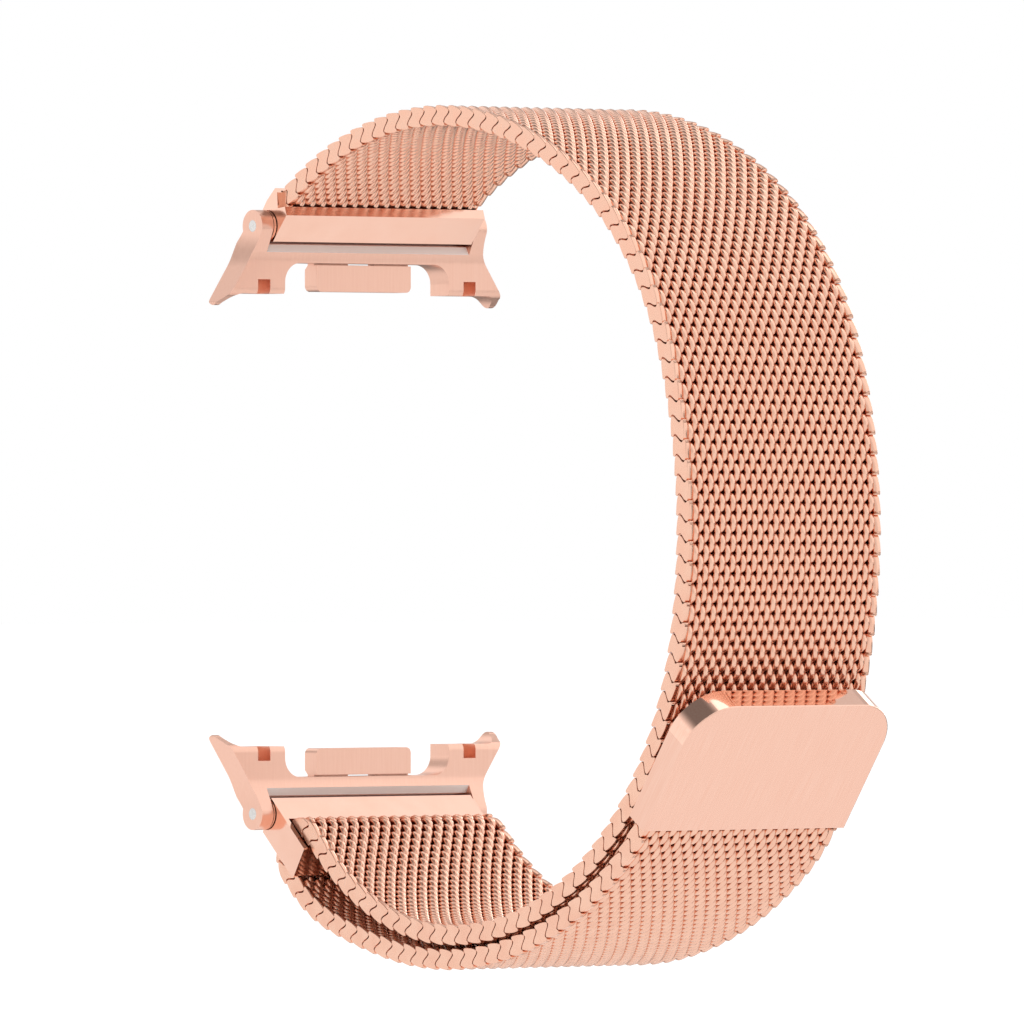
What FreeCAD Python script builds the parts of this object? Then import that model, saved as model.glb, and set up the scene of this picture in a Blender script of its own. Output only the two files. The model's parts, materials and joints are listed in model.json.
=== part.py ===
"""Milanese mesh watch band with two quick-release adapters and a magnetic clasp.

The loop stands upright: X runs from the watch side to the clasp side, Y is the width of the
strap and Z is up. All lengths are in millimetres and all angles in degrees.
Profiles are drawn in the XZ plane about a hinge axis and extruded along Y.
"""
import FreeCAD, Part
import math
import os
from FreeCAD import Vector

# Driving dimensions
LUG_WIDTH = 20.0            # gap between the ears of an adapter, the strap's nominal width
HINGE_HEIGHT = 22.7         # height of each hinge axis above or below the middle of the watch
MIDDLE_X = 25.33            # middle of the whole band, where the part's origin is put
MIDDLE_Z = -1.33

# Mesh strip
MESH_THICKNESS = 1.65
MESH_WIDTH = 18.7
MESH_START = (0.85, 23.99, 40.7)            # x, z and heading of the clamped end
LOOP_ARCS = ((23.0, 10.0), (31.8, 66.5), (24.8, 35.5), (41.5, 31.7), (27.8, 78.5))
RETURN_STRAIGHT = 1.5
RETURN_ARCS = ((12.5, 23.4), (52.0, 8.2), (33.4, 49.9), (17.4, 15.8))
UPPER_JOINT = 3.0           # first hinge line, measured along the strip
UPPER_STEP = 6.75           # nine coils
UPPER_STRETCHES = 11
RETURN_JOINT = 6.75         # first hinge line after the fold, measured from the fold's start
RETURN_STEP = 7.5           # ten coils
RETURN_STRETCHES = 6
SOCKET_GAP = 0.05

# Adapter
EAR_RADIUS = 1.25
EAR_OUTER = 11.1
HINGE_PIN_RADIUS = 0.45
BARREL_RADIUS = 1.2
BARREL_HALF_WIDTH = 9.9
BARREL_ROOM = 0.15
RUNNING_GAP = 0.03
SEAT_GAP = 0.005
PLATE_INNER_X = 0.25
PLATE_OUTER_X = -2.1
PLATE_TOP = -1.4
PLATE_EDGE = -2.8
ARM_END = -5.2
ARM_INNER = 8.1
ARM_FILLET = 1.5
NOTCH_Y = (9.55, 10.75)
NOTCH_Z = (-5.4, -4.1)
NOTCH_DEPTH = 1.55
BLANK_REACH = 3.0           # half depth of the blank the adapter's front view is cut from
BLANK_HALF_WIDTH = 14.0
PLATE_START = (-1.19, -0.383)
PLATE_OUTLINE = (((0.0, EAR_RADIUS), (1.22, -0.27)), (0.38, -2.0),
                 ((0.28, -2.38), (PLATE_INNER_X, -2.8)), (PLATE_INNER_X, -4.7),
                 ((0.14, -5.13), (-0.25, -5.42)), (-1.15, -5.95),
                 ((-1.72, -6.08), (PLATE_OUTER_X, -5.6)), (PLATE_OUTER_X, -2.4),
                 ((-2.04, -1.8), (-1.88, -1.25)))
EAR_TOP = 1.4
EAR_FLARE = ((EAR_OUTER, -0.3), ((11.315, -1.749), (11.94, -3.07)), (13.8, -5.86))
WING_TIP = ((13.62, -6.2), (13.35, -6.15))
WING_STEP = ((12.83, -5.46), (12.0, ARM_END))
EAR_SLOT_X = (-0.2, 2.0)
CHAMFER_START = (0.0, PLATE_TOP + 0.1)
CHAMFER = ((1.4, PLATE_TOP + 0.1), (1.4, -2.0), (0.38, -2.0))

# Release lever
LEVER_PIVOT = (-0.95, -2.2)
LEVER_HALF_WIDTH = 4.65
LEVER_X = (-1.7, -0.2)
LEVER_Z = (-5.0, -2.95)
LEVER_CORNER = 0.45
LEVER_KNUCKLE = 0.5
LEVER_PIN_RADIUS = 0.25
LEVER_PIN_HALF = 5.95
LEVER_GAP = 0.1
LEVER_RELIEF = 0.35
LEVER_NECK = 0.4            # half thickness
SPRING_ROOM = 0.4
OVERCUT = 0.1               # how far a cutting tool reaches past the face it cuts
POCKET_X = (-1.8, -0.12)
POCKET_TOP = -1.65
POCKET_BOTTOM = -4.0
CHANNEL_START = -3.0
COVER_HALF_WIDTH = 6.6
COVER_Z = (-2.75, -1.5)
COVER_FOOT_Y = (5.0, 5.9)
COVER_FOOT_HALF = 0.2
SPRING_RADIUS = 0.38
SPRING_WIRE = 0.06
SPRING_PITCH = 0.2
SPRING_HALF_LENGTH = 0.9
SPRING_LEG = 0.5

# Upper end bar, side view about the hinge
END_BAR_HALF_WIDTH = 9.8
LIP_START = (-1.15, 0.3)
LIP_OUTLINE = ((-0.42, 1.25), (0.12, 1.98), (1.22, 2.98), (1.4, 2.75), (1.55, 0.7), (0.9, 0.1), (0.0, -0.5))
JAW_START = (0.9, -1.2)
JAW_OUTLINE = ((2.6, 0.8), (2.38, 1.47), (1.0, 1.3), (0.2, 0.4), (0.1, -1.1))
MOUTH_START = (2.2, 1.5)    # mouth that leaves the mesh free to bend
MOUTH_OUTLINE = ((1.15, 2.95), (1.9, 2.9), (2.8, 1.9))

# Buckle frame, drawn along the slope from the hinge
FRAME_SLOPE = 43.0
FRAME_HALF_WIDTH = 9.85
FRAME_ARM = 0.4
FRAME_TOP = 1.4
FRAME_BOTTOM = -1.25
SLOT = (2.0, 3.95)
BAR_TOP = 1.35
BAR_BOTTOM = -1.0
BAR_ROUNDING = 0.5
FOLD_GAP = 0.1
RAIL_TOP_START = -0.3
RAIL_FOOT_START = 0.74
ARM_OUTLINE = ((5.24, FRAME_TOP), ((5.35, 1.36), (5.39, 1.25)), (5.84, -0.95),
               ((5.82, -1.17), (5.6, FRAME_BOTTOM)), (RAIL_FOOT_START, FRAME_BOTTOM))
BAR_FAR_TOP = 5.34
BAR_FAR_BOTTOM = 5.83

# Clasp
CLASP_LENGTH = 11.56
CLASP_HALF_WIDTH = 9.8
CLASP_CORNER = 3.6
CLASP_SHEET = 0.2
CLASP_SIDE = 0.4
CLASP_EDGE = 0.12
CLASP_GRIP = 3.0
CRIMP_WIDTH = 0.6
MAGNET_COUNT = 3
MAGNET_GAP = 0.3

ALONG_Y = Vector(0, 1, 0)


def box(x, y, z):
    """Block from three (low, high) pairs."""
    corner = Vector(x[0], y[0], z[0])
    return Part.makeBox(x[1] - x[0], y[1] - y[0], z[1] - z[0], corner)


def rod(radius, half_width, x=0.0, z=0.0):
    """Round bar across the strap."""
    return Part.makeCylinder(radius, 2 * half_width, Vector(x, -half_width, z), ALONG_Y)


def outline(start, moves, place):
    """Closed face: each move is a point to go straight to, or an arc's middle point and its end."""
    edges = []
    here = start
    for move in list(moves) + [start]:
        if isinstance(move[0], tuple):
            middle, there = move
            edges.append(Part.Arc(place(here), place(middle), place(there)).toShape())
        elif move != here:
            there = move
            edges.append(Part.LineSegment(place(here), place(there)).toShape())
        here = there
    return Part.Face(Part.Wire(edges))


def side_prism(start, moves, half_width):
    """Side profile in x and z, extruded to both sides of the strap's middle."""
    face = outline(start, moves, lambda p: Vector(p[0], -half_width, p[1]))
    return face.extrude(Vector(0, 2 * half_width, 0))


def move_along(x, z, heading, length, curvature):
    """Point and heading after a length of a straight or an arc."""
    if curvature == 0.0:
        return x + length * math.cos(heading), z + length * math.sin(heading), heading
    turned = heading + curvature * length
    across = (math.sin(turned) - math.sin(heading)) / curvature
    up = (math.cos(heading) - math.cos(turned)) / curvature
    return x + across, z + up, turned


class Track:
    """Centre line of the mesh in the XZ plane: straights and arcs that join without a kink."""

    def __init__(self, x, z, heading):
        self.end = (x, z, math.radians(heading))
        self.length = 0.0
        self.spans = []

    def add(self, length, curvature):
        self.spans.append((self.length, length, self.end, curvature))
        self.end = move_along(*self.end, length, curvature)
        self.length += length

    def straight(self, length):
        self.add(length, 0.0)

    def arc(self, radius, turn):
        self.add(radius * abs(math.radians(turn)), math.copysign(1.0 / radius, turn))

    def meet(self, x, z, heading):
        """One arc and one straight that bring the track to a point with a given heading."""
        here_x, here_z, here = self.end
        there = math.radians(heading)
        turn = math.remainder(there - here, 2 * math.pi)
        gap_x, gap_z = x - here_x, z - here_z
        to_corner = (gap_x * math.sin(there) - gap_z * math.cos(there)) / math.sin(turn)
        from_corner = (gap_z * math.cos(here) - gap_x * math.sin(here)) / math.sin(turn)
        radius = to_corner / math.tan(abs(turn) / 2)
        self.arc(radius, math.degrees(turn))
        self.straight(from_corner - to_corner)

    def at(self, s):
        for start, length, pose, curvature in self.spans:
            if s <= start + length or start + length >= self.length:
                return move_along(*pose, s - start, curvature)

    def beside(self, s, offset):
        """Point at an offset to the left of the travel direction."""
        x, z, heading = self.at(s)
        return Vector(x - offset * math.sin(heading), 0, z + offset * math.cos(heading))

    def edges(self, first, last, offset):
        """Offset copies of the spans between two stations."""
        found = []
        for start, length, _, curvature in self.spans:
            low = max(first, start)
            high = min(last, start + length)
            if high - low < 1e-6:
                continue
            ends = [self.beside(s, offset) for s in (low, (low + high) / 2, high)]
            if curvature == 0.0:
                found.append(Part.LineSegment(ends[0], ends[2]).toShape())
            else:
                found.append(Part.Arc(*ends).toShape())
        return found

    def slab(self, first, last):
        """Stretch of the mesh strip as a plain solid of the strip's thickness and width."""
        half = MESH_THICKNESS / 2
        left = self.edges(first, last, half)
        right = self.edges(first, last, -half)
        stop = Part.LineSegment(self.beside(last, half), self.beside(last, -half)).toShape()
        start = Part.LineSegment(self.beside(first, -half), self.beside(first, half)).toShape()
        wire = Part.Wire(Part.__sortEdges__(left + [stop] + right + [start]))
        face = Part.Face(wire)
        face.translate(Vector(0, -MESH_WIDTH / 2, 0))
        return face.extrude(Vector(0, MESH_WIDTH, 0))

    def stretch(self, first, last, nose, socket):
        """Slab with a round nose on its first hinge line and a round socket for the next one."""
        solid = self.slab(first, last)
        if nose:
            x, z, _ = self.at(first)
            solid = solid.fuse(rod(MESH_THICKNESS / 2, MESH_WIDTH / 2, x, z))
        if socket:
            x, z, _ = self.at(last)
            solid = solid.cut(rod(MESH_THICKNESS / 2 + SOCKET_GAP, MESH_WIDTH, x, z))
        return solid.removeSplitter()


def frame_place(u, n):
    """Point given along the buckle frame's slope and square to it, from the lower hinge."""
    slope = math.radians(FRAME_SLOPE)
    x = u * math.cos(slope) + n * math.sin(slope)
    z = n * math.cos(slope) - u * math.sin(slope)
    return x, z - HINGE_HEIGHT


def fold_radius():
    return BAR_ROUNDING + FOLD_GAP + MESH_THICKNESS / 2


def loop_track():
    """Main layer, from the upper end bar clockwise to the bar of the buckle frame."""
    track = Track(*MESH_START)
    for radius, turn in LOOP_ARCS:
        track.arc(radius, -turn)
    level = BAR_TOP - BAR_ROUNDING + fold_radius()
    x, z = frame_place(SLOT[1] + BAR_ROUNDING, level)
    track.meet(x, z, 180 - FRAME_SLOPE)
    return track


def return_track(start):
    """Fold round the frame's bar, then the outer layer as far as the clasp, and its gripped end."""
    track = Track(start[0], start[1], math.degrees(start[2]))
    track.arc(fold_radius(), 90)
    track.straight(BAR_TOP - BAR_BOTTOM - 2 * BAR_ROUNDING)
    track.arc(fold_radius(), 90)
    track.straight(RETURN_STRAIGHT)
    for radius, turn in RETURN_ARCS:
        track.arc(radius, turn)
    track.straight(CLASP_GRIP)
    return track


def mesh_nodes(loop, back):
    """Mesh strip, cut into stretches at its hinge lines."""
    nodes = {"mesh_upper_end": loop.stretch(0, UPPER_JOINT, False, True)}
    here = UPPER_JOINT
    for number in range(1, UPPER_STRETCHES + 1):
        there = here + UPPER_STEP
        nodes["mesh_stretch_%02d" % number] = loop.stretch(here, there, True, True)
        here = there
    nodes["mesh_lower_run"] = loop.stretch(here, loop.length, True, False)
    nodes["mesh_fold"] = back.stretch(0, RETURN_JOINT, False, True)
    here = RETURN_JOINT
    for number in range(1, RETURN_STRETCHES + 1):
        there = here + RETURN_STEP
        nodes["mesh_return_%d" % number] = back.stretch(here, there, True, True)
        here = there
    nodes["mesh_clasp_end"] = back.stretch(here, back.length, True, False)
    return nodes


def mirrored_front():
    """Front view of an adapter: straight ears, sides that flare out, and two arms."""
    fillet_centre = (ARM_INNER - ARM_FILLET, PLATE_EDGE - ARM_FILLET)
    diagonal = ARM_FILLET * math.sqrt(0.5)
    fillet_middle = (fillet_centre[0] + diagonal, fillet_centre[1] + diagonal)
    half = [(EAR_OUTER, EAR_TOP), *EAR_FLARE, WING_TIP, WING_STEP,
            (ARM_INNER, ARM_END), (ARM_INNER, fillet_centre[1]),
            (fillet_middle, (fillet_centre[0], PLATE_EDGE)), (0.0, PLATE_EDGE)]
    face = outline((0.0, EAR_TOP), half, lambda p: Vector(-BLANK_REACH, p[0], p[1]))
    right = face.extrude(Vector(2 * BLANK_REACH, 0, 0))
    return right.fuse(right.mirror(Vector(0, 0, 0), ALONG_Y)).removeSplitter()


def adapter_side():
    """Side view of an adapter: ear round the hinge, thin plate, tapered foot."""
    return side_prism(PLATE_START, PLATE_OUTLINE, BLANK_HALF_WIDTH)


def adapter_body(envelope):
    gap = LUG_WIDTH / 2
    pivot_x, pivot_z = LEVER_PIVOT
    seat = LEVER_PIN_RADIUS + SEAT_GAP
    body = envelope.cut(rod(BARREL_RADIUS + BARREL_ROOM, gap))
    body = body.cut(box(EAR_SLOT_X, (-gap, gap), (PLATE_TOP, EAR_RADIUS + OVERCUT)))
    body = body.cut(side_prism(CHAMFER_START, CHAMFER, gap))
    body = body.cut(rod(HINGE_PIN_RADIUS + SEAT_GAP, 2 * gap))
    pocket_half = LEVER_HALF_WIDTH + LEVER_GAP
    body = body.cut(box(POCKET_X, (-pocket_half, pocket_half), (POCKET_BOTTOM, POCKET_TOP)))
    cover_y = (-COVER_HALF_WIDTH, COVER_HALF_WIDTH)
    body = body.cut(box((-BLANK_REACH, POCKET_X[0]), cover_y, COVER_Z))
    body = body.cut(rod(seat, LEVER_PIN_HALF, pivot_x, pivot_z))
    channel_y = (-LEVER_PIN_HALF, LEVER_PIN_HALF)
    body = body.cut(box((CHANNEL_START, pivot_x), channel_y, (pivot_z - seat, pivot_z + seat)))
    for side in (-1, 1):
        notch_y = sorted((side * NOTCH_Y[0], side * NOTCH_Y[1]))
        notch_x = (PLATE_INNER_X - NOTCH_DEPTH, PLATE_INNER_X + OVERCUT)
        body = body.cut(box(notch_x, notch_y, NOTCH_Z))
    return body.removeSplitter()


def adapter_cover(envelope):
    """Thin plate let into the outer face, with two feet that hold the lever pin down."""
    pivot_x, pivot_z = LEVER_PIVOT
    cover_y = (-COVER_HALF_WIDTH, COVER_HALF_WIDTH)
    cover = envelope.common(box((-BLANK_REACH, POCKET_X[0]), cover_y, COVER_Z))
    foot_x = (POCKET_X[0], pivot_x - LEVER_PIN_RADIUS)
    for side in (-1, 1):
        foot_y = sorted(side * y for y in COVER_FOOT_Y)
        foot_z = (pivot_z - COVER_FOOT_HALF, pivot_z + COVER_FOOT_HALF)
        cover = cover.fuse(box(foot_x, foot_y, foot_z))
    return cover.removeSplitter()


def release_lever():
    pivot_x, pivot_z = LEVER_PIVOT
    half = LEVER_HALF_WIDTH
    corner = LEVER_CORNER
    slant = corner * (1 - math.sqrt(0.5))
    low, high = LEVER_Z
    front = [(half, high), (half, low + corner), ((half - slant, low + slant), (half - corner, low)),
             (corner - half, low), ((slant - half, low + slant), (-half, low + corner))]
    face = outline((-half, high), front, lambda p: Vector(LEVER_X[0], p[0], p[1]))
    tongue = face.extrude(Vector(LEVER_X[1] - LEVER_X[0], 0, 0))
    relief = [(LEVER_X[0] + LEVER_RELIEF, high), (LEVER_X[0], high - LEVER_RELIEF)]
    relief_start = (LEVER_X[0] - OVERCUT, high + OVERCUT)
    tongue = tongue.cut(side_prism(relief_start, relief, half + OVERCUT))
    neck = box((pivot_x - LEVER_NECK, pivot_x + LEVER_NECK), (-half, half), (high - OVERCUT, pivot_z))
    lever = tongue.fuse(neck).fuse(rod(LEVER_KNUCKLE, half, pivot_x, pivot_z))
    lever = lever.cut(rod(LEVER_PIN_RADIUS + RUNNING_GAP, half + OVERCUT, pivot_x, pivot_z))
    window = SPRING_HALF_LENGTH + SPRING_ROOM
    window_z = (high + RUNNING_GAP, pivot_z + LEVER_KNUCKLE + OVERCUT)
    lever = lever.cut(box((-BLANK_REACH, BLANK_REACH), (-window, window), window_z))
    return lever.removeSplitter()


def lever_spring():
    """Torsion spring round the lever pin, with two short legs."""
    pivot_x, pivot_z = LEVER_PIVOT
    helix = Part.makeHelix(SPRING_PITCH, 2 * SPRING_HALF_LENGTH, SPRING_RADIUS)
    section = Part.makeCircle(SPRING_WIRE, Vector(SPRING_RADIUS, 0, 0), ALONG_Y)
    coil = Part.Wire(helix.Edges).makePipeShell([Part.Wire([section])], True, True)
    coil.translate(Vector(0, 0, -SPRING_HALF_LENGTH))
    coil.rotate(Vector(0, 0, 0), Vector(1, 0, 0), -90)
    coil.translate(Vector(pivot_x, 0, pivot_z))
    spring = coil
    for side in (-1, 1):
        foot = Vector(pivot_x + SPRING_RADIUS, side * SPRING_HALF_LENGTH, pivot_z + SPRING_WIRE)
        leg = Part.makeCylinder(SPRING_WIRE, SPRING_LEG, foot, Vector(0, 0, -1))
        spring = spring.fuse(leg)
    return spring


def adapter_nodes():
    """Upper adapter about its hinge axis."""
    envelope = adapter_side().common(mirrored_front())
    pivot_x, pivot_z = LEVER_PIVOT
    return {
        "adapter_body": adapter_body(envelope),
        "adapter_cover": adapter_cover(envelope),
        "release_lever": release_lever(),
        "lever_pin": rod(LEVER_PIN_RADIUS, LEVER_PIN_HALF - 0.05, pivot_x, pivot_z),
        "lever_spring": lever_spring(),
        "hinge_pin": rod(HINGE_PIN_RADIUS, EAR_OUTER),
    }


def end_bar_nodes(mesh_end):
    """Upper end bar: barrel with an outer lip, and a jaw that clamps the mesh against it."""
    half = END_BAR_HALF_WIDTH
    lip = side_prism(LIP_START, LIP_OUTLINE, half)
    barrel = rod(BARREL_RADIUS, BARREL_HALF_WIDTH)
    body = barrel.fuse(lip)
    body = body.cut(rod(HINGE_PIN_RADIUS + RUNNING_GAP, 2 * BARREL_HALF_WIDTH))
    jaw = side_prism(JAW_START, JAW_OUTLINE, half)
    mesh = mesh_end.copy()
    mesh.translate(Vector(0, 0, -HINGE_HEIGHT))
    mouth = side_prism(MOUTH_START, MOUTH_OUTLINE, half)
    jaw = jaw.cut(barrel).cut(mesh)
    body = body.cut(mesh).cut(mouth).cut(jaw)
    solids = sorted(body.Solids, key=lambda s: s.Volume)
    jaw_solids = sorted(jaw.Solids, key=lambda s: s.Volume)
    return {"upper_end_bar": solids[-1].removeSplitter(), "upper_end_jaw": jaw_solids[-1].removeSplitter()}


def buckle_frame():
    """Frame at the lower end: barrel, rail, slot, two thin arms and the bar under the fold."""
    def block(start, moves, low, high):
        def place(p):
            x, z = frame_place(*p)
            return Vector(x, low, z)
        return outline(start, moves, place).extrude(Vector(0, high - low, 0))

    half = FRAME_HALF_WIDTH
    inner = half - FRAME_ARM
    rail_start = (RAIL_TOP_START, FRAME_TOP)
    rail_moves = [(SLOT[0], FRAME_TOP), (SLOT[0], FRAME_BOTTOM), (RAIL_FOOT_START, FRAME_BOTTOM)]
    rail = block(rail_start, rail_moves, -half, half)
    arms = [block(rail_start, ARM_OUTLINE, -half, -inner), block(rail_start, ARM_OUTLINE, inner, half)]
    slot_end = SLOT[1]
    round_low = BAR_ROUNDING * (1 - math.sqrt(0.5))
    bar_moves = [(BAR_FAR_TOP, BAR_TOP), (BAR_FAR_BOTTOM, BAR_BOTTOM), (slot_end + BAR_ROUNDING, BAR_BOTTOM),
                 ((slot_end + round_low, BAR_BOTTOM + round_low), (slot_end, BAR_BOTTOM + BAR_ROUNDING)),
                 (slot_end, BAR_TOP - BAR_ROUNDING),
                 ((slot_end + round_low, BAR_TOP - round_low), (slot_end + BAR_ROUNDING, BAR_TOP))]
    bar = block((slot_end + BAR_ROUNDING, BAR_TOP), bar_moves, -inner, inner)
    frame = rail.fuse(arms).fuse(bar)
    frame = frame.fuse(rod(BARREL_RADIUS, BARREL_HALF_WIDTH, 0, -HINGE_HEIGHT))
    frame = frame.cut(rod(HINGE_PIN_RADIUS + RUNNING_GAP, 2 * half, 0, -HINGE_HEIGHT))
    return frame.removeSplitter()


def clasp_nodes(track):
    """Clasp laid out along its own length (a), width (Y) and thickness (b), then put in place."""
    half = CLASP_HALF_WIDTH
    depth = MESH_THICKNESS / 2
    outer = depth + CLASP_SHEET
    corner = CLASP_CORNER
    slant = corner * (1 - math.sqrt(0.5))
    end = CLASP_LENGTH

    def plate(inset, low, high, start):
        wide = half - inset
        far = end - inset
        radius = corner - inset
        cut = radius * (1 - math.sqrt(0.5))
        moves = [(far - radius, -wide), ((far - cut, cut - wide), (far, radius - wide)),
                 (far, wide - radius), ((far - cut, wide - cut), (far - radius, wide)), (start, wide)]
        face = outline((start, -wide), moves, lambda p: Vector(p[0], p[1], low))
        return face.extrude(Vector(0, 0, high - low))

    shell = plate(0.0, -outer, outer, 0.0)
    rim = [edge for edge in shell.Edges
           if abs(edge.BoundBox.ZMin + outer) < 1e-6 and abs(edge.BoundBox.ZMax + outer) < 1e-6]
    shell = shell.makeFillet(CLASP_EDGE, rim)
    cover = shell.cut(plate(CLASP_SIDE, -depth, outer + OVERCUT, -OVERCUT))
    base = plate(CLASP_SIDE, depth, outer, 0.0)
    inner = half - CLASP_SIDE
    crimp = box((CLASP_GRIP, CLASP_GRIP + CRIMP_WIDTH), (-inner, inner), (-depth, depth))
    room = 2 * (half - corner)
    magnet_width = (room - MAGNET_GAP * (MAGNET_COUNT - 1)) / MAGNET_COUNT
    magnets = []
    for number in range(MAGNET_COUNT):
        low = -room / 2 + number * (magnet_width + MAGNET_GAP)
        span = (CLASP_GRIP + CRIMP_WIDTH + MAGNET_GAP, end - CLASP_SIDE - MAGNET_GAP)
        magnets.append(box(span, (low, low + magnet_width), (-depth, depth)))
    x, z, heading = track.at(track.length - CLASP_GRIP)
    # thickness axis b points to the wrist, square to the clasp's length
    placing = FreeCAD.Matrix(math.cos(heading), 0, -math.sin(heading), x,
                             0, 1, 0, 0,
                             math.sin(heading), 0, math.cos(heading), z,
                             0, 0, 0, 1)
    local = {"clasp_cover": cover, "clasp_base": base, "clasp_crimp_bar": crimp,
             "clasp_magnets": Part.makeCompound(magnets)}
    return {name: shape.transformGeometry(placing) for name, shape in local.items()}


def build():
    loop = loop_track()
    back = return_track(loop.end)
    nodes = mesh_nodes(loop, back)
    nodes.update(end_bar_nodes(nodes["mesh_upper_end"]))
    nodes["upper_end_bar"].translate(Vector(0, 0, HINGE_HEIGHT))
    nodes["upper_end_jaw"].translate(Vector(0, 0, HINGE_HEIGHT))
    nodes["buckle_frame"] = buckle_frame()
    nodes.update(clasp_nodes(back))
    for name, shape in adapter_nodes().items():
        upper = shape.copy()
        upper.translate(Vector(0, 0, HINGE_HEIGHT))
        nodes["upper_" + name] = upper
        nodes["lower_" + name] = upper.mirror(Vector(0, 0, 0), Vector(0, 0, 1))
    for shape in nodes.values():
        shape.translate(Vector(-MIDDLE_X, 0, -MIDDLE_Z))
    return nodes


if __name__ == "__main__":
    os.makedirs("parts", exist_ok=True)
    for name, shape in build().items():
        shape.exportStep("parts/%s.step" % name)
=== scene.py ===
import json
import math

import bpy
import numpy as np
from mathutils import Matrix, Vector


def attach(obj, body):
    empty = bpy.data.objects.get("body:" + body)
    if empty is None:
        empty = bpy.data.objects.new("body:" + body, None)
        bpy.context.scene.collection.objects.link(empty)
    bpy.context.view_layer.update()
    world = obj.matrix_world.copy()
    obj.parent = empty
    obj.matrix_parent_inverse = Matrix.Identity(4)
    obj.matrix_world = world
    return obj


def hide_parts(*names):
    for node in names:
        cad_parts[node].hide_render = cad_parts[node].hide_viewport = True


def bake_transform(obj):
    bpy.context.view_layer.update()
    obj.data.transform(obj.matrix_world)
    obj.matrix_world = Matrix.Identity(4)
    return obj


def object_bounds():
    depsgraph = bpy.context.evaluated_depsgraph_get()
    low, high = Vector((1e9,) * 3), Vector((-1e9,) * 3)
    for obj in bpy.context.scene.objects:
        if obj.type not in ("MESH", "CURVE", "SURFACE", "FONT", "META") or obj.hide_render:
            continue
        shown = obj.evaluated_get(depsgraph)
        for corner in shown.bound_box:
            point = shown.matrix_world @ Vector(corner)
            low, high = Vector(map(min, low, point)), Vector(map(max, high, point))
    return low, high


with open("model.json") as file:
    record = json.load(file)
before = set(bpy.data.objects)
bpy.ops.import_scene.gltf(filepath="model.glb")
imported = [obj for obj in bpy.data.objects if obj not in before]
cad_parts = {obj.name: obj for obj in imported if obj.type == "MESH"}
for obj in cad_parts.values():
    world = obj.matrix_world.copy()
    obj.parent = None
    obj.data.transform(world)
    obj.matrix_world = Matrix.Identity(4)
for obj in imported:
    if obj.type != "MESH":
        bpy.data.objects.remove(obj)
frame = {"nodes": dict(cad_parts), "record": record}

cad_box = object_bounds()

# Lengths are in millimetres and angles in degrees until a point is put in the row frame.
MM = 0.001
MIDDLE_X = 25.33
MIDDLE_Z = -1.33
HINGE_HEIGHT = 22.7

# Mesh strip: the same centre line as the CAD part
MESH_THICKNESS = 1.65
MESH_WIDTH = 18.7
MESH_START = (0.85, 23.99, 40.7)
LOOP_ARCS = ((23.0, 10.0), (31.8, 66.5), (24.8, 35.5), (41.5, 31.7), (27.8, 78.5))
FRAME_SLOPE = 43.0
FOLD_ENTRY = (4.45, 2.275)
FOLD_RADIUS = 1.425
FOLD_STRAIGHT = 1.35
RETURN_STRAIGHT = 1.5
RETURN_ARCS = ((12.5, 23.4), (52.0, 8.2), (33.4, 49.9), (17.4, 15.8))
CLASP_GRIP = 3.0
UPPER_JOINT = 3.0
UPPER_STEP = 6.75
UPPER_STRETCHES = 11
RETURN_JOINT = 6.75
RETURN_STEP = 7.5
RETURN_STRETCHES = 6
FOLD_LENGTH = 6.0
END_BEND = 1.9              # half length of the bend at the upper end bar

# Wire coils of the mesh
COIL_STEP = 0.75            # along the strip
COIL_PITCH = 1.04           # across the strip, one turn
COIL_REACH = 0.68           # half length of a turn along the strip
COIL_LEAN_OUT = 0.30        # sideways lean of the strands on the outer face
COIL_LEAN_IN = 0.15         # and, the other way, on the inner face
WIRE_RADIUS = 0.23          # through the strip's thickness
WIRE_HALF_WIDTH = 0.265     # along the strip's face
WIRE_INNER_EXTRA = 0.025    # wider strands on the inner face
COIL_HALF_WIDTH = 8.80
COIL_END_ROOM = 1.05
EDGE_END_ROOM = 0.10
TURN_SAMPLES = 14
RING = 8                    # corners round the wire

# Ground edge of the mesh: welded wire ends, one S shape for every two coils
EDGE_STEP = 1.5
EDGE_GAP = 0.14             # widest opening between two S shapes
EDGE_BEVEL = 0.03
EDGE_ROWS = 22
# depth below the edge face, share of the bevel taken off, share of the thickness
EDGE_LEVELS = ((0.55, 0.0, 0.80), (0.42, 0.0, 0.93), (0.28, 0.0, 1.0), (0.10, 0.0, 0.99),
               (0.03, 0.0, 0.97), (0.0, 1.0, 0.94))
WAVE_SLOPE = 1.106          # the S shape is a cubic of the height in the strip's thickness
WAVE_CURL = 2.267
GAP_END = 0.52              # height at which the opening is closed
GAP_TAPER = 0.12
GAP_LEAST = 0.02            # share of the opening left where it is closed
BEVEL_LEAST = 0.05
LOBE_BEVEL = 3.0            # how fast the bevel comes back on the rounded corners
LOBE_WIDE = 0.85            # rounded corners of each S shape
LOBE_TALL = 0.36

# Layout of the texture squares: ends of a closed patch, room between patches, coils and edges
UV_CAP = 0.03
UV_FILL = 0.9
UV_COILS = (0.0, 0.8)
UV_EDGES = (0.8, 1.0)

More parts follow.
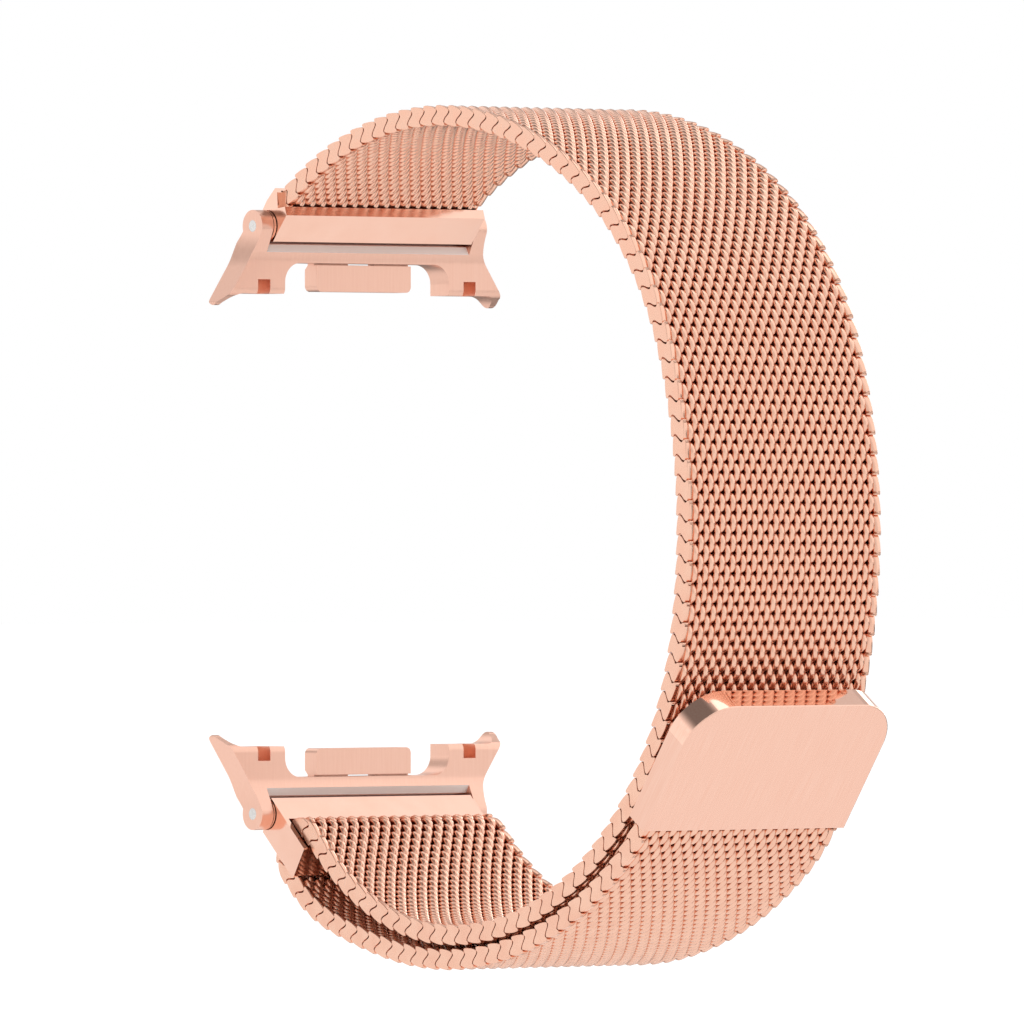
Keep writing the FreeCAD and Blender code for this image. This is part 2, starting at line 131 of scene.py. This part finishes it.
# Metals: dark colour, light colour, roughness, grain in cycles per metre, depth of the grain in metres
METALS = {
    "mesh_steel": ((0.92, 0.53, 0.39), (0.97, 0.60, 0.45), (0.20, 0.30), (900, 900, 900), 0.0),
    "rose_gold_polished": ((0.95, 0.58, 0.45), (0.98, 0.62, 0.49), (0.10, 0.16), (400, 400, 400), 0.0),
    "adapter_rose_gold": ((0.94, 0.56, 0.43), (0.97, 0.60, 0.47), (0.28, 0.36), (6000, 6000, 300), 0.0000025),
    "clasp_brushed": ((0.94, 0.56, 0.43), (0.98, 0.62, 0.49), (0.24, 0.34), (9000, 9000, 250), 0.000002),
    "pin_steel": ((0.72, 0.70, 0.68), (0.82, 0.80, 0.78), (0.22, 0.30), (2500, 2500, 2500), 0.0),
    "spring_steel": ((0.52, 0.52, 0.53), (0.62, 0.62, 0.63), (0.25, 0.35), (3000, 3000, 3000), 0.0),
    "magnet": ((0.50, 0.50, 0.52), (0.60, 0.60, 0.62), (0.25, 0.35), (1500, 1500, 1500), 0.0),
}
NOISE_DETAIL = 2.0
CREVICE_SAMPLES = 6

# Colours and masks laid over the metals, among them painted shade in crevices and deep in the mesh
# Painted shade: crevices, found by ambient occlusion, take a darker, redder colour
CREVICE_SHADE_COLOUR = (0.30, 0.07, 0.035)
CREVICE_REACH = 0.0011      # metres
CREVICE_SHADE_EASE = (0.02, 0.38)
STEEL_COLOUR = (1.0, 0.95, 0.91)
STEEL_METALLIC = 0.0
CHAMFER_HALF_WIDTH = 9.98
CHAMFER_LEVEL = 20.2        # above or below the middle between the two hinges
CHAMFER_FACING = (0.879, 0.0, 0.477)
CHAMFER_EASE = (0.990, 0.997)
CLASP_FACING = (0.812, 0.0, -0.584)
CLASP_EASE = (0.97, 0.995)
CLASP_TURN = math.radians(54.3 - 90.0)
POLISH = 0.05               # roughness of the clasp's polished edges
# Painted shade: wire that lies deep between the two faces of the mesh takes a darker, redder colour
WIRE_DEEP_SHADE = (0.50, 0.14, 0.07)
WIRE_SHADE = (0.35, 0.80)   # share of the half thickness over which the painted deep shade fades
NOISE_RANGE = (0.3, 0.7)

# Camera
VIEW_AZIMUTH = 51.2
VIEW_DISTANCE = 1100.0
VIEW_SIDE = 11.383
VIEW_LENS = 497.7
VIEW_SENSOR = 36.0
VIEW_FAR = 50.0             # metres
HORIZON_DROP = 8 / 1024

# Room: one bright level, with dark regions given as direction, start, full and strength left
ROOM_BRIGHT = 1.12
ROOM_SHADES = (((0.779, -0.627, 0.0), 0.35, 0.90, 0.70),
               ((-0.53, 0.63, 0.56), 0.86, 0.99, 0.50),
               ((-0.75, -0.50, 0.45), 0.92, 0.99, 0.50),
               ((-0.20, -0.48, 0.86), 0.80, 0.96, 0.18))
# name, place in metres, size in metres, watts
SOFTBOXES = (("softbox_back", (-0.35, 0.95, 0.35), (0.35, 0.6), 1.5),
             ("softbox_top", (0.1, 0.2, 1.0), (0.5, 0.5), 0.5))

# Floor, in metres: pale to the eye, with a dark far part that only reflections see
FLOOR_HALF = 6.0
FLOOR_DROP = 0.029          # room for the clasp when it hangs peeled off
FLOOR_ROUGHNESS = 0.9
FLOOR_GREY = (0.20, 0.20, 0.20)
FLOOR_GREY_SEEN = (0.35, 0.35, 0.35)
FLOOR_GLOW_SEEN = 0.80
FLOOR_DARK_WAY = (-0.60, 0.80, 0.0)
FLOOR_DARK_FROM = 0.064
FLOOR_DARK_TO = 0.098
FLOOR_LIT = 0.79
FLOOR_SHADE = 0.04

# Sockets of the Mix node
MIX_FLOATS = (2, 3)
MIX_COLOURS = (6, 7)
MIX_COLOUR_RESULT = 2


class Strip:
    """Centre line of the mesh in the XZ plane: straights and arcs that join without a kink."""

    def __init__(self, x, z, heading):
        self.end = (x, z, math.radians(heading))
        self.length = 0.0
        self.spans = []

    def add(self, length, curvature):
        x, z, heading = self.end
        self.spans.append((self.length, x, z, heading, curvature))
        self.length += length
        x, z, heading = (float(v[0]) for v in self.frames(np.array([self.length])))
        self.end = (x, z, heading)

    def arc(self, radius, turn):
        self.add(radius * abs(math.radians(turn)), math.copysign(1.0 / radius, turn))

    def meet(self, x, z, heading):
        """One arc and one straight that bring the strip to a point with a given heading."""
        here_x, here_z, here = self.end
        there = math.radians(heading)
        turn = math.remainder(there - here, 2 * math.pi)
        gap_x, gap_z = x - here_x, z - here_z
        to_corner = (gap_x * math.sin(there) - gap_z * math.cos(there)) / math.sin(turn)
        from_corner = (gap_z * math.cos(here) - gap_x * math.sin(here)) / math.sin(turn)
        self.arc(to_corner / math.tan(abs(turn) / 2), math.degrees(turn))
        self.add(from_corner - to_corner, 0.0)

    def frames(self, stations):
        """x, z and heading at each station."""
        spans = np.array(self.spans)
        found = spans[np.clip(np.searchsorted(spans[:, 0], stations, side="right") - 1, 0, None)]
        start, x, z, heading, curvature = found.T
        along = stations - start
        half_turn = curvature * along / 2
        chord = along * np.sinc(half_turn / math.pi)
        aim = heading + half_turn
        return x + chord * np.cos(aim), z + chord * np.sin(aim), aim + half_turn

    def place(self, s, n, y):
        """Row-frame points at stations s, offsets n to the left of travel and widths y."""
        s, n, y = np.broadcast_arrays(s, n, y)
        x, z, heading = self.frames(s.ravel())
        n = n.ravel()
        return np.stack([(x - n * np.sin(heading) - MIDDLE_X) * MM, y.ravel() * MM,
                         (z + n * np.cos(heading) - MIDDLE_Z) * MM], axis=-1)

    def point(self, s):
        return self.place(np.array([s]), 0.0, 0.0)[0]


def whole_strip():
    strip = Strip(*MESH_START)
    for radius, turn in LOOP_ARCS:
        strip.arc(radius, -turn)
    slope = math.radians(FRAME_SLOPE)
    along, above = FOLD_ENTRY
    strip.meet(along * math.cos(slope) + above * math.sin(slope),
               above * math.cos(slope) - along * math.sin(slope) - HINGE_HEIGHT, 180 - FRAME_SLOPE)
    fold_start = strip.length
    strip.arc(FOLD_RADIUS, 90)
    strip.add(FOLD_STRAIGHT, 0.0)
    strip.arc(FOLD_RADIUS, 90)
    strip.add(RETURN_STRAIGHT, 0.0)
    for radius, turn in RETURN_ARCS:
        strip.arc(radius, turn)
    strip.add(CLASP_GRIP, 0.0)
    return strip, fold_start


def coil_patches(strip, first, last):
    """Wire coils between two stations: one grid of points (sample, ring) for each coil."""
    numbers = np.arange(int(strip.length / COIL_STEP))
    stations = COIL_STEP * (numbers + 0.5)
    keep = (stations >= max(first, COIL_END_ROOM)) & (stations < min(last, strip.length - COIL_END_ROOM))
    numbers, stations = numbers[keep], stations[keep]
    samples = int(2 * COIL_HALF_WIDTH / COIL_PITCH * TURN_SAMPLES)
    y = np.linspace(-COIL_HALF_WIDTH, COIL_HALF_WIDTH, samples)
    phase = 2 * math.pi * (y[None, :] / COIL_PITCH - (numbers[:, None] % 2) / 2)
    lift = MESH_THICKNESS / 2 - WIRE_RADIUS
    rise = np.sin(phase)
    along = COIL_REACH * np.cos(phase)
    lean = along * (COIL_LEAN_OUT * (1 + rise) - COIL_LEAN_IN * (1 - rise)) / 2
    centre = np.stack([along, lift * rise, y[None, :] + lean], axis=-1)
    tangent = np.gradient(centre, axis=1)
    tangent /= np.linalg.norm(tangent, axis=-1, keepdims=True)
    side = np.stack([tangent[..., 1], -tangent[..., 0], np.zeros_like(phase)], axis=-1)
    side /= np.linalg.norm(side, axis=-1, keepdims=True)
    other = np.cross(tangent, side)
    angle = np.linspace(0, 2 * math.pi, RING, endpoint=False)
    wide = WIRE_HALF_WIDTH + WIRE_INNER_EXTRA * np.clip(-rise, 0, 1)
    ring = (centre[:, :, None, :] + WIRE_RADIUS * np.cos(angle)[:, None] * side[:, :, None, :]
            + wide[:, :, None, None] * np.sin(angle)[:, None] * other[:, :, None, :])
    x, z, heading = (v[:, None, None] for v in strip.frames(stations))
    a, b, y = ring[..., 0], ring[..., 1], ring[..., 2]
    points = np.stack([(x + a * np.cos(heading) - b * np.sin(heading) - MIDDLE_X) * MM, y * MM,
                       (z + a * np.sin(heading) + b * np.cos(heading) - MIDDLE_Z) * MM], axis=-1)
    return points, np.abs(b) / (MESH_THICKNESS / 2)


def edge_patches(strip, first, last):
    """Ground S shapes of the strip's two edges: one grid of points (level, outline) for each."""
    half = MESH_THICKNESS / 2
    v = np.linspace(0, math.pi, EDGE_ROWS + 1)
    n = half * np.cos(v)
    wave = WAVE_SLOPE * n - WAVE_CURL * n ** 3
    into_lobe = np.clip((np.abs(n) - half + LOBE_TALL) / LOBE_TALL, 0, 1)
    inset = LOBE_WIDE * (1 - np.sqrt(1 - into_lobe ** 2))
    opening = np.clip((GAP_END - np.abs(n)) / GAP_TAPER, GAP_LEAST, 1)
    bevel = EDGE_BEVEL * np.clip(opening + into_lobe * LOBE_BEVEL, BEVEL_LEAST, 1)
    low, high = max(first, EDGE_END_ROOM), min(last, strip.length - COIL_END_ROOM)
    found = []
    for number in range(int(strip.length / EDGE_STEP)):
        middle = EDGE_STEP * (number + 0.5)
        if not low <= middle < high:
            continue
        for side in (-1, 1):
            levels = []
            for depth, bevelled, share in EDGE_LEVELS:
                reach = (EDGE_STEP - EDGE_GAP * opening) / 2 - inset - bevelled * bevel
                left = middle - side * (wave - reach)
                right = middle - side * (wave + reach)
                outline_s = np.concatenate([left, right[::-1]])
                outline_n = np.concatenate([n, n[::-1]]) * share
                levels.append(strip.place(outline_s, outline_n, side * (MESH_WIDTH / 2 - depth)))
            found.append(np.stack(levels))
    found = np.array(found)
    return found, np.ones(found.shape[:3])


def grid_quads(rows, ring):
    """Quads of a grid that closes on itself across the ring."""
    i = np.arange(rows - 1)[:, None] * ring
    j = np.arange(ring)[None, :]
    k = (j + 1) % ring
    return np.stack([i + j, i + k, i + ring + k, i + ring + j], axis=-1).reshape(-1, 4)


def strip_cap(start, ring):
    """Quads that close a ring by joining its first half to its second half."""
    j = np.arange(ring // 2 - 1)
    return np.stack([start + j, start + j + 1, start + ring - 2 - j, start + ring - 1 - j], axis=-1)


def patch_quads(rows, ring):
    ends = np.concatenate([strip_cap(0, ring)[:, ::-1], strip_cap((rows - 1) * ring, ring)])
    return np.concatenate([grid_quads(rows, ring), ends])


def patch_uv(rows, ring):
    """Unrolled layout of one closed patch in a unit square, corner by corner."""
    i = np.repeat(np.arange(rows - 1), ring)[:, None]
    j = np.tile(np.arange(ring), rows - 1)[:, None]
    wall_u = (i + np.array([[0, 0, 1, 1]])) / (rows - 1) * (1 - 2 * UV_CAP) + UV_CAP
    wall_v = (j + np.array([[0, 1, 1, 0]])) / ring
    wall = np.stack([wall_u, wall_v], axis=-1)
    count = ring // 2 - 1
    k = np.arange(count)[:, None]
    cap_v = (k + np.array([[0, 1, 1, 0]])) / count
    cap_u = np.broadcast_to(np.array([[0.0, 0.0, UV_CAP, UV_CAP]]), cap_v.shape)
    low = np.stack([cap_u, cap_v], axis=-1)
    high = np.stack([1 - UV_CAP + cap_u, cap_v], axis=-1)
    return np.concatenate([wall, low[:, ::-1], high])


def woven_mesh(name, strip, first, last):
    """One piece of the woven strip, with its coils and its ground edges."""
    points, heights, quads, uvs, smooth = [], [], [], [], []
    offset = 0
    groups = [coil_patches(strip, first, last), edge_patches(strip, first, last)]
    for (patches, height), (low, high) in zip(groups, (UV_COILS, UV_EDGES)):
        count, rows, ring, _ = patches.shape
        faces, uv = patch_quads(rows, ring), patch_uv(rows, ring)
        cells = np.arange(count)
        quads.append((faces[None] + (cells * rows * ring)[:, None, None] + offset).reshape(-1, 4))
        cell_uv = np.broadcast_to(uv, (count,) + uv.shape).copy()
        if rows > ring:     # long coils lie above each other in the layout, with smooth walls
            cell_uv[..., 1] = low + (high - low) * (cells[:, None, None] + UV_FILL * cell_uv[..., 1]) / count
            smooth_rows = rows - 1
        else:               # edge shapes stand side by side, and their last level is a flat bevel
            cell_uv[..., 0] = (cells[:, None, None] + UV_FILL * cell_uv[..., 0]) / count
            cell_uv[..., 1] = low + (high - low) * cell_uv[..., 1]
            smooth_rows = rows - 2
        uvs.append(cell_uv.reshape(-1, 2))
        smooth.append(np.tile(np.arange(len(faces)) < smooth_rows * ring, count))
        points.append(patches.reshape(-1, 3))
        heights.append(height.ravel())
        offset += count * rows * ring
    made = mesh_object(name, np.concatenate(points), np.concatenate(quads), np.concatenate(uvs),
                       np.concatenate(smooth))
    layer = made.data.attributes.new("height", "FLOAT", "POINT")
    layer.data.foreach_set("value", np.concatenate(heights).astype(np.float32))
    return made


def mesh_object(name, points, quads, uvs, smooth):
    mesh = bpy.data.meshes.new(name)
    mesh.vertices.add(len(points))
    mesh.vertices.foreach_set("co", points.astype(np.float32).ravel())
    mesh.loops.add(quads.size)
    mesh.loops.foreach_set("vertex_index", quads.astype(np.int32).ravel())
    mesh.polygons.add(len(quads))
    mesh.polygons.foreach_set("loop_start", np.arange(0, quads.size, 4, dtype=np.int32))
    mesh.polygons.foreach_set("use_smooth", smooth)
    layer = mesh.uv_layers.new(name="OFBake")
    layer.data.foreach_set("uv", uvs.astype(np.float32).ravel())
    mesh.update(calc_edges=True)
    mesh.validate()
    made = bpy.data.objects.new(name, mesh)
    bpy.context.scene.collection.objects.link(made)
    return made


def main_spans():
    """Woven pieces of the main layer, each from the middle of one stretch to the middle of the next."""
    bodies = ["upper_end"] + ["mesh_stretch_%02d" % i for i in range(1, UPPER_STRETCHES + 1)] + ["lower_run"]
    spans = []
    for i in range(UPPER_STRETCHES + 1):
        joint = UPPER_JOINT + i * UPPER_STEP
        first = joint - UPPER_STEP / 2 if i else 0.0
        bend = UPPER_STEP / 2 if i else END_BEND
        node = bodies[i] if i else "mesh_upper_end"
        spans.append(("woven_main_%02d" % (i + 1), first, joint + UPPER_STEP / 2, joint - bend, joint + bend,
                      bodies[i], bodies[i + 1], node))
    return spans


def return_spans(fold_start, strip_end):
    """Woven pieces of the folded-back layer, the last one reaching into the clasp."""
    bodies = ["lower_run"] + ["mesh_return_%d" % i for i in range(1, RETURN_STRETCHES + 1)] + ["clasp"]
    spans = []
    for i in range(RETURN_STRETCHES + 1):
        joint = fold_start + RETURN_JOINT + i * RETURN_STEP
        inside = i < RETURN_STRETCHES
        first = joint - RETURN_STEP / 2 if i else fold_start + FOLD_LENGTH
        last = joint + RETURN_STEP / 2 if inside else strip_end
        bend_end = last if inside else strip_end - CLASP_GRIP
        node = bodies[i + 1] if inside else "mesh_clasp_end"
        spans.append(("woven_return_%d" % (i + 1), first, last, first, bend_end,
                      bodies[i], bodies[i + 1], node))
    return spans


def build_strip(material):
    """Visible mesh: pieces that reach from one body to the next, and stiff pieces of the lower run."""
    strip, fold_start = whole_strip()
    bending = main_spans()
    run_start = bending[-1][2]
    run_middle = (run_start + fold_start) / 2
    for name, first, last, bend_start, bend_end, before, after, node in (
            bending + return_spans(fold_start, strip.length)):
        piece = woven_mesh(name, strip, first, last)
        strip.point(bend_start)
        strip.point(bend_end)
        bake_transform(piece)
        finish_piece(piece, material, node)
    for name, first, last, node in (("woven_run_upper", run_start, run_middle, "mesh_lower_run"),
                                    ("woven_run_lower", run_middle, fold_start, "mesh_lower_run"),
                                    ("woven_fold", fold_start, fold_start + FOLD_LENGTH, "mesh_fold")):
        piece = woven_mesh(name, strip, first, last)
        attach(piece, "lower_run")
        finish_piece(piece, material, node)


def finish_piece(piece, material, node):
    piece.data.materials.append(material)
    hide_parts(node)


class Nodes:
    """Shorthand for building a node material."""

    def __init__(self, name):
        self.material = bpy.data.materials.new(name)
        self.material.use_nodes = True
        self.tree = self.material.node_tree
        self.shader = self.tree.nodes["Principled BSDF"]
        self.coords = self.add("ShaderNodeTexCoord").outputs["Object"]
        self.normals = self.add("ShaderNodeTexCoord").outputs["Normal"]
        self.strength = None

    def add(self, kind, **settings):
        node = self.tree.nodes.new(kind)
        for key, value in settings.items():
            setattr(node, key, value)
        return node

    def link(self, source, target):
        self.tree.links.new(source, target)

    def noise(self, scale, turn):
        """Noise stretched by a scale for each axis, in cycles per metre, after a turn about Y."""
        turned = self.add("ShaderNodeVectorRotate", rotation_type="Y_AXIS")
        turned.inputs["Angle"].default_value = turn
        self.link(self.coords, turned.inputs["Vector"])
        mapping = self.add("ShaderNodeMapping")
        mapping.inputs["Scale"].default_value = scale
        self.link(turned.outputs["Vector"], mapping.inputs["Vector"])
        noise = self.add("ShaderNodeTexNoise")
        noise.inputs["Scale"].default_value = 1.0
        noise.inputs["Detail"].default_value = NOISE_DETAIL
        self.link(mapping.outputs["Vector"], noise.inputs["Vector"])
        return noise.outputs["Fac"]

    def spread(self, value, low, high):
        """Noise spread to a range."""
        node = self.add("ShaderNodeMapRange")
        node.inputs["From Min"].default_value, node.inputs["From Max"].default_value = NOISE_RANGE
        node.inputs["To Min"].default_value = low
        node.inputs["To Max"].default_value = high
        self.link(value, node.inputs["Value"])
        return node.outputs["Result"]

    def ease(self, value, limits):
        """0 below the lower limit, 1 above the upper one, and a smooth step between them."""
        node = self.add("ShaderNodeMapRange", interpolation_type="SMOOTHSTEP")
        node.inputs["From Min"].default_value, node.inputs["From Max"].default_value = limits
        self.link(value, node.inputs["Value"])
        return node.outputs["Result"]

    def blend_colour(self, mask, low, high):
        """Colour that goes from low to high with a mask; either may be a socket."""
        node = self.add("ShaderNodeMix", data_type="RGBA")
        for index, value in zip(MIX_COLOURS, (low, high)):
            if isinstance(value, tuple):
                node.inputs[index].default_value = (*value, 1)
            else:
                self.link(value, node.inputs[index])
        self.link(mask, node.inputs["Factor"])
        return node.outputs[MIX_COLOUR_RESULT]

    def crevice_shade(self, colour, dark, reach):
        """Painted shade: a darker, redder colour where other surfaces close in, as ambient occlusion finds
        them.
        """
        open_sky = self.add("ShaderNodeAmbientOcclusion", samples=CREVICE_SAMPLES)
        open_sky.inputs["Distance"].default_value = reach
        return self.blend_colour(self.ease(open_sky.outputs["AO"], CREVICE_SHADE_EASE), dark, colour)

    def facing(self, way, limits):
        """1 where the piece's own surface faces a direction, easing to 0."""
        dot = self.add("ShaderNodeVectorMath", operation="DOT_PRODUCT")
        dot.inputs[1].default_value = way
        self.link(self.normals, dot.inputs[0])
        return self.ease(dot.outputs["Value"], limits)

    def pick(self, mask, low, high):
        """Value that goes from low to high with a mask; either may be a socket."""
        node = self.add("ShaderNodeMix", data_type="FLOAT")
        for index, value in zip(MIX_FLOATS, (low, high)):
            if isinstance(value, float):
                node.inputs[index].default_value = value
            else:
                self.link(value, node.inputs[index])
        self.link(mask, node.inputs["Factor"])
        return node.outputs["Result"]

    def bump(self, value, distance):
        """Bumps over the whole piece; their strength can be linked to a mask afterwards."""
        node = self.add("ShaderNodeBump")
        node.inputs["Distance"].default_value = distance
        self.link(value, node.inputs["Height"])
        self.link(node.outputs["Normal"], self.shader.inputs["Normal"])
        self.strength = node.inputs["Strength"]

    def compare(self, value, kind, limit):
        """1 where a coordinate, taken without its sign, is beyond or within a limit."""
        size = self.add("ShaderNodeMath", operation="ABSOLUTE")
        self.link(value, size.inputs[0])
        node = self.add("ShaderNodeMath", operation=kind)
        self.link(size.outputs[0], node.inputs[0])
        node.inputs[1].default_value = limit
        return node.outputs[0]

    def times(self, first, second):
        node = self.add("ShaderNodeMath", operation="MULTIPLY")
        self.link(first, node.inputs[0])
        self.link(second, node.inputs[1])
        return node.outputs[0]


def metal(name, turn=0.0):
    dark, light, rough, grain, depth = METALS[name]
    made = Nodes(name)
    made.shader.inputs["Metallic"].default_value = 1.0
    value = made.noise(grain, turn)
    made.link(made.blend_colour(made.spread(value, 0, 1), dark, light), made.shader.inputs["Base Color"])
    made.link(made.spread(value, *rough), made.shader.inputs["Roughness"])
    if depth:
        made.bump(value, depth)
    return made


def metal_with_crevice_shade(name):
    """Metal with painted shade: darker and redder in its crevices."""
    made = metal(name)
    base = made.shader.inputs["Base Color"]
    made.link(made.crevice_shade(base.links[0].from_socket, CREVICE_SHADE_COLOUR, CREVICE_REACH), base)
    return made


def adapter_metal():
    """Brushed metal with a bright steel chamfer along the gap between the ears."""
    made = metal_with_crevice_shade("adapter_rose_gold")
    x, y, z = CHAMFER_FACING
    either = made.add("ShaderNodeMath", operation="ADD", use_clamp=True)
    made.link(made.facing((x, y, z), CHAMFER_EASE), either.inputs[0])
    made.link(made.facing((x, y, -z), CHAMFER_EASE), either.inputs[1])
    place = made.add("ShaderNodeVectorMath", operation="ADD")
    place.inputs[1].default_value = (0.0, 0.0, MIDDLE_Z * MM)
    made.link(made.coords, place.inputs[0])
    split = made.add("ShaderNodeSeparateXYZ")
    made.link(place.outputs["Vector"], split.inputs["Vector"])
    between_ears = made.compare(split.outputs["Y"], "LESS_THAN", CHAMFER_HALF_WIDTH * MM)
    near_hinge = made.compare(split.outputs["Z"], "GREATER_THAN", CHAMFER_LEVEL * MM)
    mask = made.times(made.times(either.outputs[0], between_ears), near_hinge)
    base = made.shader.inputs["Base Color"]
    made.link(made.blend_colour(mask, base.links[0].from_socket, STEEL_COLOUR), base)
    made.link(made.pick(mask, 1.0, STEEL_METALLIC), made.shader.inputs["Metallic"])
    return made


def clasp_metal():
    """Fine brushing along the clasp's front, mirror polish on its edges."""
    made = metal("clasp_brushed", CLASP_TURN)
    front = made.facing(CLASP_FACING, CLASP_EASE)
    rough = made.shader.inputs["Roughness"]
    made.link(made.pick(front, POLISH, rough.links[0].from_socket), rough)
    made.link(front, made.strength)
    return made


def woven_metal():
    """Metal of the wires, with painted shade: darker and redder the deeper it lies between the two faces."""
    made = metal("mesh_steel")
    height = made.add("ShaderNodeAttribute", attribute_name="height").outputs["Fac"]
    base = made.shader.inputs["Base Color"]
    made.link(made.blend_colour(made.ease(height, WIRE_SHADE), WIRE_DEEP_SHADE, base.links[0].from_socket), base)
    return made


def build_materials():
    return {
        "mesh_steel": woven_metal(),
        "rose_gold_polished": metal_with_crevice_shade("rose_gold_polished"),
        "adapter_rose_gold": adapter_metal(),
        "clasp_brushed": clasp_metal(),
        "pin_steel": metal("pin_steel"),
        "spring_steel": metal("spring_steel"),
        "magnet": metal("magnet"),
    }


def paint_nodes(materials):
    for part in frame["record"]["subparts"]:
        mesh = frame["nodes"][part["node"]].data
        mesh.materials.clear()
        mesh.materials.append(materials[part["material_slot"]].material)


def build_floor():
    level = cad_box[0].z - FLOOR_DROP
    corners = [(x * FLOOR_HALF, y * FLOOR_HALF, level) for x, y in ((-1, -1), (1, -1), (1, 1), (-1, 1))]
    mesh = bpy.data.meshes.new("floor")
    mesh.from_pydata(corners, [], [(0, 1, 2, 3)])
    floor = bpy.data.objects.new("floor", mesh)
    bpy.context.scene.collection.objects.link(floor)
    pale = Nodes("pale_floor")
    pale.shader.inputs["Roughness"].default_value = FLOOR_ROUGHNESS
    pale.shader.inputs["Specular IOR Level"].default_value = 0.0
    seen = pale.add("ShaderNodeLightPath").outputs["Is Camera Ray"]
    pale.link(pale.blend_colour(seen, FLOOR_GREY, FLOOR_GREY_SEEN), pale.shader.inputs["Base Color"])
    glow = shade_towards(pale.tree, pale.coords, FLOOR_DARK_WAY, (FLOOR_DARK_FROM, FLOOR_DARK_TO),
                         FLOOR_SHADE, FLOOR_LIT)
    pale.shader.inputs["Emission Color"].default_value = (1, 1, 1, 1)
    pale.link(camera_pick(pale.tree, glow, FLOOR_GLOW_SEEN), pale.shader.inputs["Emission Strength"])
    mesh.materials.append(pale.material)


def area_light(name, place, size, power):
    data = bpy.data.lights.new(name, "AREA")
    data.shape = "RECTANGLE"
    data.size, data.size_y = size
    data.energy = power
    lamp = bpy.data.objects.new(name, data)
    lamp.location = place
    direction = -lamp.location.normalized()
    lamp.rotation_euler = direction.to_track_quat("-Z", "Y").to_euler()
    bpy.context.scene.collection.objects.link(lamp)


def shade_towards(tree, vector, way, limits, low, high):
    """Value that eases from high to low as a vector turns or moves towards a direction."""
    towards = tree.nodes.new("ShaderNodeVectorMath")
    towards.operation = "DOT_PRODUCT"
    towards.inputs[1].default_value = way
    tree.links.new(vector, towards.inputs[0])
    ease = tree.nodes.new("ShaderNodeMapRange")
    ease.interpolation_type = "SMOOTHSTEP"
    ease.inputs["From Min"].default_value, ease.inputs["From Max"].default_value = limits
    ease.inputs["To Min"].default_value = high
    ease.inputs["To Max"].default_value = low
    tree.links.new(towards.outputs["Value"], ease.inputs["Value"])
    return ease.outputs["Result"]


def camera_pick(tree, other, seen_value):
    """A fixed value for what the camera sees directly, another value for everything else."""
    seen = tree.nodes.new("ShaderNodeLightPath").outputs["Is Camera Ray"]
    pick = tree.nodes.new("ShaderNodeMix")
    pick.data_type = "FLOAT"
    from_other, from_camera = MIX_FLOATS
    tree.links.new(other, pick.inputs[from_other])
    pick.inputs[from_camera].default_value = seen_value
    tree.links.new(seen, pick.inputs["Factor"])
    return pick.outputs["Result"]


def build_light():
    """White room with a few dark regions that only reflections see, plus soft boxes."""
    world = bpy.data.worlds.new("studio")
    world.use_nodes = True
    tree = world.node_tree
    direction = tree.nodes.new("ShaderNodeTexCoord").outputs["Generated"]
    level = None
    for way, start, full, left in ROOM_SHADES:
        shade = shade_towards(tree, direction, Vector(way).normalized(), (start, full), left, 1.0)
        times = tree.nodes.new("ShaderNodeMath")
        times.operation = "MULTIPLY"
        tree.links.new(shade, times.inputs[0])
        if level is None:
            times.inputs[1].default_value = ROOM_BRIGHT
        else:
            tree.links.new(level, times.inputs[1])
        level = times.outputs[0]
    tree.links.new(camera_pick(tree, level, 1.0), tree.nodes["Background"].inputs["Strength"])
    tree.nodes["Background"].inputs["Color"].default_value = (1, 1, 1, 1)
    bpy.context.scene.world = world
    for name, place, size, power in SOFTBOXES:
        area_light(name, place, size, power)


def build_camera():
    azimuth = math.radians(VIEW_AZIMUTH)
    s, c = math.sin(azimuth), math.cos(azimuth)
    data = bpy.data.cameras.new("camera")
    data.lens = VIEW_LENS
    data.sensor_width = VIEW_SENSOR
    data.shift_y = HORIZON_DROP
    data.clip_end = VIEW_FAR
    camera = bpy.data.objects.new("camera", data)
    camera.location = ((VIEW_DISTANCE * s + VIEW_SIDE * c - MIDDLE_X) * MM,
                       (-VIEW_DISTANCE * c + VIEW_SIDE * s) * MM, -MIDDLE_Z * MM)
    camera.rotation_euler = (math.pi / 2, 0, azimuth)
    bpy.context.scene.collection.objects.link(camera)
    bpy.context.scene.camera = camera
    bpy.context.scene.view_settings.view_transform = "Standard"


materials = build_materials()
paint_nodes(materials)
build_strip(materials["mesh_steel"].material)
build_floor()
build_light()
build_camera()
